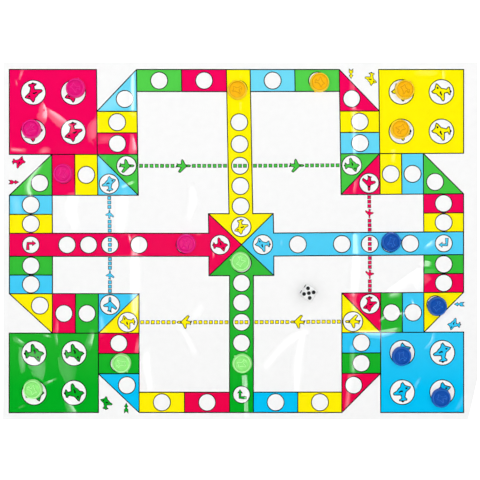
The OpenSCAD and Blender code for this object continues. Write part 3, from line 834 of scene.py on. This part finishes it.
def make_film():
    """The film and its five inks on one creased net."""
    net, triangles = film_net()
    shares = sort_triangles(net, triangles)
    film = layer("film", net, triangles, 0, FILM_T)
    made = {"film_sheet": film}
    for node, share in shares.items():
        made[node] = layer(node.replace("print_", "ink_"), net, triangles[share], FILM_T, FILM_T + INK_T)
    for node, piece in made.items():
        # The colour at the front, and the lighter one at the back, which is painted light.
        slot, colour, shade = FILM_COLOURS[node]
        piece.data.materials.append(film_material(slot, colour, shade))
        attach(piece, "board")
        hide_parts(node)
    both_sides = np.abs(triangle_areas(*cad_mesh("film_sheet"))).sum()


# Tokens

# Body: foot, rim, recess, hollow underside and wall, with the wall's slant in degrees, and how far the
# foot's upper edge draws in
FOOT_R = TOKEN_R
FOOT_H = 0.7
TOP_R = 6.7
RIM_W = 1.0
RECESS = 0.9
TOKEN_H = 3.8
HOLLOW = 1.3
WALL = 1.1
WALL_SLANT = 12
FILLET = 0.18
FOOT_EASE = (0.03, 0.1)

# Raised plane with sunk fields, the ring round it, and the stub of the mould's gate
RELIEF_H = 0.6
RELIEF_SOFT = 0.22
RELIEF_LINE, RELIEF_SINK = 0.9, 0.45
RIDGE_R, RIDGE_HALF, RIDGE_H = 5.25, 0.28, 0.25
GATE_W, GATE_H, GATE_OUT = 1.4, 0.7, 0.8

# Points of the mesh: round the token, in its corners, on its rim and ridge, under its top and on its relief
TOKEN_TURNS = 128
FILLET_STEPS, RIM_STEPS, RIDGE_STEPS = 4, 12, 9
UNDER_RINGS = (1.0, 3.0)
PATCH_R = 4.9
PATCH_STEP = 0.225


def even_turns(count):
    """Angles set evenly round a full turn."""
    return np.arange(count) * 2 * math.pi / count


def ring_faces(rings, turns):
    """Four-sided faces from each of a row of rings to the next."""
    faces = []
    for row in range(rings - 1):
        for i in range(turns):
            j = (i + 1) % turns
            a, b = row * turns, (row + 1) * turns
            faces.append((a + i, a + j, b + j, b + i))
    return faces


def arc(middle, radius, start, end, steps):
    """Points on a round corner of a profile, with angles in degrees."""
    turn = np.radians(np.linspace(start, end, steps))
    return [(middle[0] + radius * math.cos(t), middle[1] + radius * math.sin(t)) for t in turn]


def token_profile():
    """The token's section from the middle of its underside round to the edge of its relief."""
    floor = TOKEN_H - RECESS
    rim = RIM_W / 2
    hollow_r = FOOT_R - WALL
    inner = TOP_R - RIM_W
    points = [(radius, HOLLOW) for radius in UNDER_RINGS]
    points += arc((hollow_r - FILLET, HOLLOW - FILLET), FILLET, 90, 0, FILLET_STEPS)
    points += arc((hollow_r + FILLET, FILLET), FILLET, 180, 270, FILLET_STEPS)
    points += arc((FOOT_R - FILLET, FILLET), FILLET, 270, 360, FILLET_STEPS)
    points += [(FOOT_R, FOOT_H - FILLET)]
    points += [(FOOT_R - ease, FOOT_H + up) for ease, up in zip(FOOT_EASE, (0, FILLET))]
    points += arc((TOP_R - rim, TOKEN_H - rim), rim, WALL_SLANT, 180, RIM_STEPS)
    points += arc((inner - FILLET, floor + FILLET), FILLET, 360, 270, FILLET_STEPS)
    for step in np.linspace(1, -1, RIDGE_STEPS):
        points.append((RIDGE_R + step * RIDGE_HALF, floor + RIDGE_H * math.cos(step * math.pi / 2) ** 2))
    points.append((PATCH_R, floor))
    return points


def gate_bulge(turn, gate_turn, height):
    """How far the stub of the mould's gate pushes the foot outwards at one place."""
    off = (turn - gate_turn + math.pi) % (2 * math.pi) - math.pi
    across = abs(off) * FOOT_R / (GATE_W / 2)
    up = max(0.0, (height - GATE_H + FILLET) / FILLET)
    return GATE_OUT * max(0.0, 1 - across**4) * max(0.0, 1 - up**2)


def inside_distance(points, corners, edges):
    """Distance from an outline, positive inside it."""
    best = np.full(len(points), np.inf)
    inside = np.zeros(len(points), bool)
    for i, j in edges:
        a, b = corners[i], corners[j]
        t = np.clip((points - a) @ (b - a) / np.dot(b - a, b - a), 0, 1)
        best = np.minimum(best, np.linalg.norm(points - a - t[:, None] * (b - a), axis=1))
        crosses = (a[1] > points[:, 1]) != (b[1] > points[:, 1])
        with np.errstate(divide="ignore", invalid="ignore"):
            at = a[0] + (points[:, 1] - a[1]) * (b[0] - a[0]) / (b[1] - a[1])
        inside ^= crosses & (points[:, 0] < at)
    return np.where(inside, best, -best)


def relief_patch(node, middle, ring):
    """The recess floor and raised plane in a ring: points, heights, triangles and the points' sources."""
    top = node_top(node) - RECESS + RELIEF_H
    corners, edges = outline_at(node, top)
    corners = corners - middle
    span = np.arange(-PATCH_R, PATCH_R, PATCH_STEP)
    fine = np.stack(np.meshgrid(span, span), axis=-1).reshape(-1, 2)
    fine = fine[np.linalg.norm(fine, axis=1) < PATCH_R - PATCH_STEP]
    points = np.concatenate([ring, corners, fine])
    rim = [(i, (i + 1) % len(ring)) for i in range(len(ring))]
    lines = [(int(a) + len(ring), int(b) + len(ring)) for a, b in edges]
    flat, triangles, sources = triangulated(points, rim + lines, FINE_SLACK, True)
    depth = inside_distance(flat, corners, edges)
    rise = RELIEF_H * smoothstep(-RELIEF_SOFT, RELIEF_SOFT, depth)
    rise -= RELIEF_SINK * smoothstep(RELIEF_SOFT, RELIEF_LINE, depth)
    return flat, rise, triangles, [source[0] if source else -1 for source in sources]


def make_token(node, middle):
    """A token turned from its profile, with its gate stub and its relief."""
    cad, _ = cad_mesh(node)
    far = cad[np.linalg.norm(cad[:, :2] - middle, axis=1).argmax(), :2] - middle
    gate_turn = math.atan2(far[1], far[0])
    profile = token_profile()
    points = []
    for radius, height in profile:
        for turn in even_turns(TOKEN_TURNS):
            out = gate_bulge(turn, gate_turn, height) if radius > FOOT_R - WALL / 2 else 0
            points.append(((radius + out) * math.cos(turn), (radius + out) * math.sin(turn), height))
    faces = ring_faces(len(profile), TOKEN_TURNS)
    hub = len(points)
    points.append((0, 0, HOLLOW))
    faces += [(hub, (i + 1) % TOKEN_TURNS, i) for i in range(TOKEN_TURNS)]
    ring_start = (len(profile) - 1) * TOKEN_TURNS
    ring = np.array(points[ring_start:ring_start + TOKEN_TURNS])[:, :2]
    flat, rise, triangles, source = relief_patch(node, middle, ring)
    index = []
    for spot, up, kept in zip(flat, rise, source):
        if 0 <= kept < TOKEN_TURNS:
            index.append(ring_start + kept)
        else:
            index.append(len(points))
            points.append((spot[0], spot[1], TOKEN_H - RECESS + up))
    faces += [tuple(index[k] for k in t) for t in triangles]
    piece = add_mesh(node.replace("token", "moulded_token"), points, faces)
    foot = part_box(node)[0].z
    piece.location = (middle[0] * MM, middle[1] * MM, foot)
    return piece


def make_tokens():
    for player in PLAYERS:
        slot, *look = TOKEN_COLOURS[player]
        material = token_material(slot, *look)
        for node in token_nodes(player):
            piece = make_token(node, TOKENS[node])
            piece.data.materials.append(material)
            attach(piece, node)
            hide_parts(node)


# Die

DIE_HALF = 5.0
DIE_TURN = 55.0
DIE_ROUND = 1.3
DIE_STEP = 0.5
DIE_FACES = [
    (5, (0, 0, 0)), (2, (180, 0, 0)), (1, (90, 0, 0)), (6, (-90, 0, 0)), (3, (0, 90, 0)), (4, (0, -90, 0)),
]

# Pips: the end of the hollow, the nearest even points of the face and the rings of points round a pip's
# middle are shares of its radius.
PIP_PITCH = 2.55
PIP_R = 1.2
PIP_DEPTH = 0.5
PIP_LIP = 0.14
PIP_END, PIP_CLEAR = 1.4, 1.35
PIP_TURNS = 32
PIP_RINGS = (0.3, 0.6, 0.8, 0.95, 1.05, 1.2)

# Paint: its top lies below the face by a drop and a share of the hollow, but always this far above the
# hollow, and its underside this far below it.
PAINT_DROP = 0.05
PAINT_SAG = 0.2
PAINT_LAP = 0.02
PAINT_DEEP = 0.03
PAINT_RINGS = (0.25, 0.5, 0.7, 0.85, 1.0, 1.08, 1.16)


def pip_places(count):
    """Middles of a face's pips."""
    places = [(0, 0)] if count % 2 else []
    places += [(-1, -1), (1, 1)] if count > 1 else []
    places += [(-1, 1), (1, -1)] if count > 3 else []
    places += [(-1, 0), (1, 0)] if count == 6 else []
    return [np.array(p) * PIP_PITCH for p in places]


def pip_hollow(off):
    """Depth of a pip at a distance from its middle, with a soft lip."""
    ball = (PIP_R**2 + PIP_DEPTH**2) / (2 * PIP_DEPTH)
    bowl = np.sqrt(np.maximum(ball**2 - off**2, 0)) - ball + PIP_DEPTH
    return (bowl + np.sqrt(bowl**2 + PIP_LIP**2 / 4)) / 2 * smoothstep(PIP_END * PIP_R, PIP_R, off)


def ring_points(middle, radius):
    turns = even_turns(PIP_TURNS)
    return np.asarray(middle) + radius * np.column_stack([np.cos(turns), np.sin(turns)])


def die_face(count):
    """One face of the die, facing up: rounded towards its edges, with its pips sunk in."""
    span = np.linspace(-DIE_HALF, DIE_HALF, round(2 * DIE_HALF / DIE_STEP) + 1)
    grid = np.stack(np.meshgrid(span, span), axis=-1).reshape(-1, 2)
    places = pip_places(count)
    for place in places:
        grid = grid[np.linalg.norm(grid - place, axis=1) > PIP_CLEAR * PIP_R]
    rings = [ring_points(place, PIP_R * share) for place in places for share in PIP_RINGS]
    points = np.concatenate([grid, *rings, *[[place] for place in places]])
    flat, triangles, _ = triangulated(points, [], FINE_SLACK)
    box = np.column_stack([flat, np.full(len(flat), DIE_HALF)])
    core = np.clip(box, DIE_ROUND - DIE_HALF, DIE_HALF - DIE_ROUND)
    out = box - core
    shape = core + DIE_ROUND * out / np.linalg.norm(out, axis=1)[:, None]
    for place in places:
        shape[:, 2] -= pip_hollow(np.linalg.norm(flat - place, axis=1))
    return shape, triangles


def turned(points, degrees):
    matrix = np.array(Euler([math.radians(d) for d in degrees]).to_matrix())
    return points @ matrix.T


def make_die():
    """The die from its six faces, and the paint in its pips."""
    points, faces = [], []
    for count, turn in DIE_FACES:
        shape, triangles = die_face(count)
        faces += (triangles + sum(map(len, points))).tolist()
        points.append(turned(shape, turn))
    points = np.concatenate(points)
    merged, same = np.unique(np.round(points, MERGE_DIGITS), axis=0, return_inverse=True)
    faces = same.reshape(-1)[np.array(faces)]
    die = add_mesh("moulded_die", turned(merged, (0, 0, DIE_TURN)), faces)
    for piece, node in ((die, "die"), (make_paint(), "die_pips")):
        slot, *look = DIE_COLOURS[node]
        piece.location = Vector(DIE_MIDDLE) * MM
        piece.data.materials.append(die_material(slot, *look))
        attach(piece, "die")
        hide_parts(node)


def paint_drop(place):
    """Points and faces of the paint in one pip: rings from its top's middle round to its underside's."""
    offs = PIP_R * np.array(PAINT_RINGS)
    hollow = pip_hollow(offs)
    top = DIE_HALF - np.minimum(PAINT_DROP + PAINT_SAG * hollow, hollow - PAINT_LAP)
    low = DIE_HALF - PAINT_DEEP - hollow
    rings = [*zip(offs, top), *zip(offs[::-1], low[::-1])]
    points = [np.column_stack([ring_points(place, off), np.full(PIP_TURNS, up)]) for off, up in rings]
    faces = [face[::-1] for face in ring_faces(len(rings), PIP_TURNS)]
    hub = len(rings) * PIP_TURNS
    last = hub - PIP_TURNS
    for i in range(PIP_TURNS):
        j = (i + 1) % PIP_TURNS
        faces += [(hub, i, j), (hub + 1, last + j, last + i)]
    middles = [(*place, top[0]), (*place, low[0])]
    return np.concatenate([*points, middles]), faces


def make_paint():
    """A drop of paint in each pip, with a slightly hollow top."""
    points, faces = [], []
    for count, turn in DIE_FACES:
        for place in pip_places(count):
            drop, sides = paint_drop(place)
            start = sum(map(len, points))
            faces += [[start + k for k in side] for side in sides]
            points.append(turned(drop, turn))
    return add_mesh("pip_paint", turned(np.concatenate(points), (0, 0, DIE_TURN)), faces)


# Stage: floor, lamps and sky

# The floor, in metres: half its size, how far it lies under the film, and where its look goes over to plain
# white, away from the object. Near the object it is a pale matt surface, lifted a little where it is seen.
FLOOR_HALF = 12.0
FLOOR_DROP = 0.0001
FLOOR_FAR = (0.4, 1.2)
FLOOR_TONE = 0.9
FLOOR_ROUGH = 0.9
FLOOR_SPECULAR = 0.1
FLOOR_LIFT = 0.12


def white_light(tree, strength=1.0):
    return new_node(tree, "Emission", WHITE, strength).outputs["Emission"]


def floor_material():
    """White that is lifted to the photograph's white where it is seen, and keeps the shadow."""
    material, tree, shader = new_material("floor_white")
    feed_named(tree, shader, {
        "Base Color": (FLOOR_TONE, FLOOR_TONE, FLOOR_TONE, 1),
        "Roughness": FLOOR_ROUGH,
        "Specular IOR Level": FLOOR_SPECULAR,
    })
    plain = shader.outputs["BSDF"]
    lifted = new_node(tree, "AddShader", plain, white_light(tree, FLOOR_LIFT)).outputs["Shader"]
    far = ranged(tree, length_of(tree, object_place(tree)), 0, 1, FLOOR_FAR)
    shown = new_node(tree, "MixShader", far, lifted, white_light(tree)).outputs["Shader"]
    rays = new_node(tree, "LightPath").outputs
    seen = rays["Is Camera Ray"]
    for kind in ("Is Glossy Ray", "Is Transmission Ray"):
        seen = computed(tree, "MAXIMUM", seen, rays[kind])
    surface = new_node(tree, "MixShader", seen, plain, shown).outputs["Shader"]
    feed(tree, tree.nodes["Material Output"].inputs["Surface"], surface)
    return material


def make_floor():
    mesh = bpy.data.meshes.new("floor")
    corners = [(x * FLOOR_HALF, y * FLOOR_HALF, 0) for x, y in ((-1, -1), (1, -1), (1, 1), (-1, 1))]
    mesh.from_pydata(corners, [], [(0, 1, 2, 3)])
    floor = bpy.data.objects.new("floor", mesh)
    floor.location.z = -FLOOR_DROP
    bpy.context.scene.collection.objects.link(floor)
    floor.data.materials.append(floor_material())


def soften_lamp(data):
    """Light that fades out towards the edges of a lamp, and is brighter in the middle of its height."""
    data.use_nodes = True
    tree = data.node_tree
    place = new_node(tree, "NewGeometry").outputs["Parametric"]
    middle = 0.5
    offs, fades = [], []
    for axis, edge in zip("XY", LAMP_EDGES):
        off = computed(tree, "SUBTRACT", axis_of(tree, place, axis), middle)
        offs.append(computed(tree, "ABSOLUTE", off))
        fades.append(ranged(tree, offs[-1], 1, 0, (middle - edge, middle)))
    core = ranged(tree, offs[1], LAMP_CORE, 1, (0, LAMP_CORE_HALF))
    light = computed(tree, "MULTIPLY", computed(tree, "MULTIPLY", *fades), core)
    feed(tree, tree.nodes["Emission"].inputs["Strength"], light)


def make_lamps():
    for name, place, width, height, power, mirrored in LAMPS:
        data = bpy.data.lights.new(f"lamp_{name}", "AREA")
        data.shape = "RECTANGLE"
        data.size, data.size_y = width, height
        data.energy = power
        soften_lamp(data)
        lamp = bpy.data.objects.new(f"lamp_{name}", data)
        lamp.location = place
        lamp.visible_glossy = mirrored
        lamp.rotation_euler = (-Vector(place)).to_track_quat("-Z", "Y").to_euler()
        bpy.context.scene.collection.objects.link(lamp)


# The sky is white up to a height and dims up to another, as shares of straight up, to this light overhead.
SKY_BAND = (0.06, 0.30)
SKY_HIGH = 0.01


def make_sky():
    """A studio round the object: white where it is seen and near the floor, dim overhead."""
    world = bpy.data.worlds.new("studio")
    world.use_nodes = True
    tree = world.node_tree
    up = axis_of(tree, new_node(tree, "TexCoord").outputs["Generated"], "Z")
    band = ranged(tree, up, 1, SKY_HIGH, SKY_BAND)
    seen = new_node(tree, "LightPath").outputs["Is Camera Ray"]
    strength = computed(tree, "MAXIMUM", band, seen)
    feed_named(tree, tree.nodes["Background"], {"Color": WHITE, "Strength": strength})
    bpy.context.scene.world = world


make_camera()
make_film()
make_tokens()
make_die()
make_floor()
make_lamps()
make_sky()
bpy.context.scene.view_settings.view_transform = "Standard"
